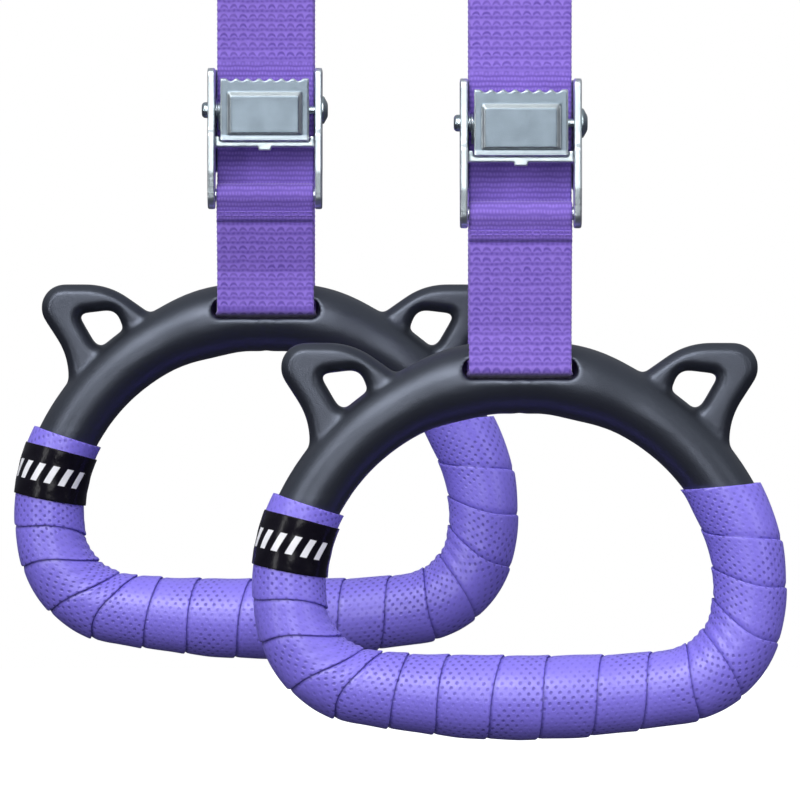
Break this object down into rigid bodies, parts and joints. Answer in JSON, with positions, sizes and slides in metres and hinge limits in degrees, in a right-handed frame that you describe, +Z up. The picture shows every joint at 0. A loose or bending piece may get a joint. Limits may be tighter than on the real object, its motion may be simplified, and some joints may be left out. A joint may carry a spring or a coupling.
{
  "type": "hand grips",
  "caption": "Wrapped D-shaped hanging hand grips with ear loops, each on a webbing strap with a cam buckle for adjusting its height on a beam.",
  "frame": {"origin": "centre of the beam inside the right grip's strap loop", "axes": "+X along the beam, to the right as the user faces the buckles; +Y away from the buckles, to the back; +Z up"},
  "size_m": [0.2966, 0.1633, 0.3667],
  "materials": {
    "ring_plastic": "satin moulded, fine grain",
    "grip_tape": "soft satin polyurethane with small perforations",
    "finishing_tape": "glossy black film with pale slanted bars",
    "webbing": "ribbed polyester weave",
    "thread": "twisted polyester thread",
    "zinc_plate": "satin bluish zinc plate",
    "bright_zinc": "bright zinc plate",
    "spring_steel": "drawn wire"
  },
  "bodies": {
    "root": {"right_strap_front": "webbing", "right_strap_back": "webbing", "left_strap_front": "webbing", "left_strap_back": "webbing"},
    "right_buckle": {"right_buckle_frame": "zinc_plate", "right_webbing_bar": "zinc_plate", "right_cam_pin": "bright_zinc", "right_cam_spring": "spring_steel", "right_strap_lower": "webbing", "right_strap_stitching": "thread"},
    "right_lever": {"right_cam_lever": "zinc_plate"},
    "right_ring": {"right_ring_body": "ring_plastic", "right_grip_wrap": "grip_tape", "right_finishing_tape": "finishing_tape", "right_strap_slot_turn": "webbing"},
    "left_buckle": {"left_buckle_frame": "zinc_plate", "left_webbing_bar": "zinc_plate", "left_cam_pin": "bright_zinc", "left_cam_spring": "spring_steel", "left_strap_lower": "webbing", "left_strap_stitching": "thread"},
    "left_lever": {"left_cam_lever": "zinc_plate"},
    "left_ring": {"left_ring_body": "ring_plastic", "left_grip_wrap": "grip_tape", "left_finishing_tape": "finishing_tape", "left_strap_slot_turn": "webbing"}
  },
  "joints": [
    {"name": "right_strap_adjust", "type": "slide", "parent": "root", "child": "right_buckle", "axis": [0, 0, 1], "range_m": [0, 0.02], "deforming": ["right_strap_back"]},
    {"name": "right_cam_press", "type": "hinge", "parent": "right_buckle", "child": "right_lever", "pos_m": [0, -0.021, -0.0948], "axis": [1, 0, 0], "range_deg": [-32, 0], "stiffness_Nm_per_rad": 0.08, "springref_deg": 34.38},
    {"name": "right_ring_swing", "type": "hinge", "parent": "right_buckle", "child": "right_ring", "pos_m": [0, 0, -0.18785], "axis": [1, 0, 0], "range_deg": [-25, 25], "deforming": ["right_strap_slot_turn"]},
    {"name": "left_strap_adjust", "type": "slide", "parent": "root", "child": "left_buckle", "axis": [0, 0, 1], "range_m": [0, 0.012], "deforming": ["left_strap_back"]},
    {"name": "left_cam_press", "type": "hinge", "parent": "left_buckle", "child": "left_lever", "pos_m": [-0.0973, 0.095, -0.0834], "axis": [1, 0, 0], "range_deg": [-32, 0], "stiffness_Nm_per_rad": 0.08, "springref_deg": 34.38},
    {"name": "left_ring_swing", "type": "hinge", "parent": "left_buckle", "child": "left_ring", "pos_m": [-0.0973, 0.116, -0.16345], "axis": [1, 0, 0], "range_deg": [-25, 25], "deforming": ["left_strap_slot_turn"]}
  ]
}
